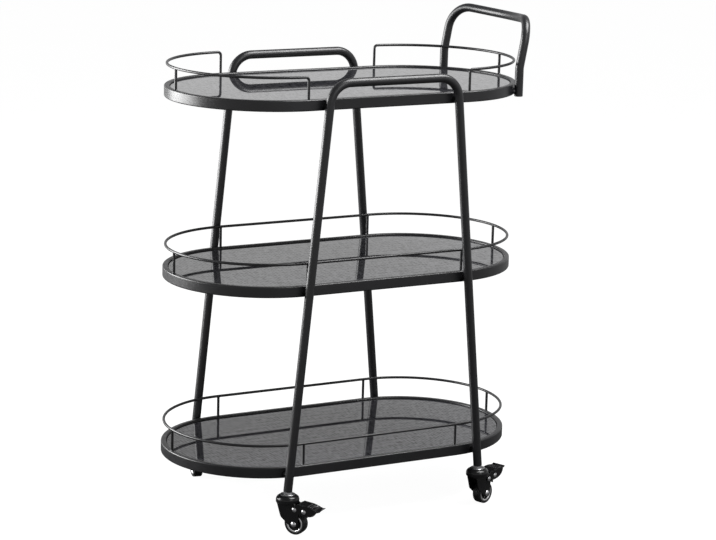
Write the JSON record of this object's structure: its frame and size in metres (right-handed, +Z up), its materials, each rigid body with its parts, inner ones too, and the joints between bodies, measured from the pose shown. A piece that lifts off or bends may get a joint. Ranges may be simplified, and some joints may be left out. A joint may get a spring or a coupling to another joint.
{
  "type": "serving cart",
  "caption": "Tiered serving cart with rounded-end black glass trays, wire guard rails, splayed tube frames, a push handle and braked swivel casters.",
  "frame": {"origin": "on the floor, under the middle of the three trays; the bowed grip puts the middle of the bounding box 5 mm further along +X", "axes": "+X along the cart towards the handle end, +Y across it towards the rear frame, +Z up"},
  "size_m": [0.691, 0.519, 0.8981],
  "materials": {
    "frame_paint": "satin black powder coat",
    "shelf_glass": "polished opaque black glass",
    "pad": "soft matt",
    "plug": "fine matt",
    "bright_steel": "bright plated",
    "inner_steel": "zinc plated",
    "caster_chrome": "bright plated",
    "trim_chrome": "polished ring",
    "fork_paint": "gloss black",
    "hub_plastic": "semi-gloss moulded",
    "tyre": "smooth matt",
    "pedal_paint": "gloss black"
  },
  "bodies": {
    "cart": {"bottom_rim": "frame_paint", "middle_rim": "frame_paint", "top_rim": "frame_paint", "bottom_glass": "shelf_glass", "middle_glass": "shelf_glass", "top_glass": "shelf_glass", "glass_pads": "pad", "bottom_rail": "frame_paint", "middle_rail": "frame_paint", "top_left_rail": "frame_paint", "top_right_rail": "frame_paint", "front_frame": "frame_paint", "rear_frame": "frame_paint", "push_handle": "frame_paint", "handle_plugs": "plug", "frame_spacers": "frame_paint", "frame_screws": "bright_steel", "frame_nuts": "inner_steel", "handle_spacers": "frame_paint", "handle_screws": "bright_steel", "leg_inserts": "inner_steel", "caster_races": "caster_chrome", "front_left_stem": "caster_chrome", "front_right_stem": "caster_chrome", "rear_left_stem": "caster_chrome", "rear_right_stem": "caster_chrome"},
    "front_left_swivel": {"front_left_fork": "fork_paint", "front_left_axle": "caster_chrome", "front_left_pivot": "caster_chrome"},
    "front_left_wheel": {"front_left_hub": "hub_plastic", "front_left_trim": "trim_chrome", "front_left_tyre": "tyre"},
    "front_left_brake": {"front_left_pedal": "pedal_paint", "front_left_rivet": "caster_chrome"},
    "front_right_swivel": {"front_right_fork": "fork_paint", "front_right_axle": "caster_chrome", "front_right_pivot": "caster_chrome"},
    "front_right_wheel": {"front_right_hub": "hub_plastic", "front_right_trim": "trim_chrome", "front_right_tyre": "tyre"},
    "front_right_brake": {"front_right_pedal": "pedal_paint", "front_right_rivet": "caster_chrome"},
    "rear_left_swivel": {"rear_left_fork": "fork_paint", "rear_left_axle": "caster_chrome", "rear_left_pivot": "caster_chrome"},
    "rear_left_wheel": {"rear_left_hub": "hub_plastic", "rear_left_trim": "trim_chrome", "rear_left_tyre": "tyre"},
    "rear_left_brake": {"rear_left_pedal": "pedal_paint", "rear_left_rivet": "caster_chrome"},
    "rear_right_swivel": {"rear_right_fork": "fork_paint", "rear_right_axle": "caster_chrome", "rear_right_pivot": "caster_chrome"},
    "rear_right_wheel": {"rear_right_hub": "hub_plastic", "rear_right_trim": "trim_chrome", "rear_right_tyre": "tyre"},
    "rear_right_brake": {"rear_right_pedal": "pedal_paint", "rear_right_rivet": "caster_chrome"}
  },
  "joints": [
    {"name": "front_left_swivel_turn", "type": "hinge", "parent": "cart", "child": "front_left_swivel", "pos_m": [-0.198, -0.195, 0.06], "axis": [0, 0, 1], "continuous": true},
    {"name": "front_left_wheel_roll", "type": "hinge", "parent": "front_left_swivel", "child": "front_left_wheel", "pos_m": [-0.18742, -0.20956, 0.02], "axis": [0.809, 0.5878, 0], "continuous": true},
    {"name": "front_left_brake_tip", "type": "hinge", "parent": "front_left_swivel", "child": "front_left_brake", "pos_m": [-0.18624, -0.21118, 0.048], "axis": [-0.809, -0.5878, 0], "range_deg": [0, 14]},
    {"name": "front_right_swivel_turn", "type": "hinge", "parent": "cart", "child": "front_right_swivel", "pos_m": [0.198, -0.195, 0.06], "axis": [0, 0, 1], "continuous": true},
    {"name": "front_right_wheel_roll", "type": "hinge", "parent": "front_right_swivel", "child": "front_right_wheel", "pos_m": [0.2148, -0.18855, 0.02], "axis": [-0.3584, 0.9336, 0], "continuous": true},
    {"name": "front_right_brake_tip", "type": "hinge", "parent": "front_right_swivel", "child": "front_right_brake", "pos_m": [0.21667, -0.18783, 0.048], "axis": [-0.3584, 0.9336, 0], "range_deg": [0, 14]},
    {"name": "rear_left_swivel_turn", "type": "hinge", "parent": "cart", "child": "rear_left_swivel", "pos_m": [-0.198, 0.195, 0.06], "axis": [0, 0, 1], "continuous": true},
    {"name": "rear_left_wheel_roll", "type": "hinge", "parent": "rear_left_swivel", "child": "rear_left_wheel", "pos_m": [-0.20174, 0.17739, 0.02], "axis": [0.9781, -0.2079, 0], "continuous": true},
    {"name": "rear_left_brake_tip", "type": "hinge", "parent": "rear_left_swivel", "child": "rear_left_brake", "pos_m": [-0.20216, 0.17544, 0.048], "axis": [0.9781, -0.2079, 0], "range_deg": [0, 14]},
    {"name": "rear_right_swivel_turn", "type": "hinge", "parent": "cart", "child": "rear_right_swivel", "pos_m": [0.198, 0.195, 0.06], "axis": [0, 0, 1], "continuous": true},
    {"name": "rear_right_wheel_roll", "type": "hinge", "parent": "rear_right_swivel", "child": "rear_right_wheel", "pos_m": [0.18955, 0.21089, 0.02], "axis": [-0.8829, -0.4695, 0], "continuous": true},
    {"name": "rear_right_brake_tip", "type": "hinge", "parent": "rear_right_swivel", "child": "rear_right_brake", "pos_m": [0.18861, 0.21266, 0.048], "axis": [-0.8829, -0.4695, 0], "range_deg": [0, 14]}
  ]
}
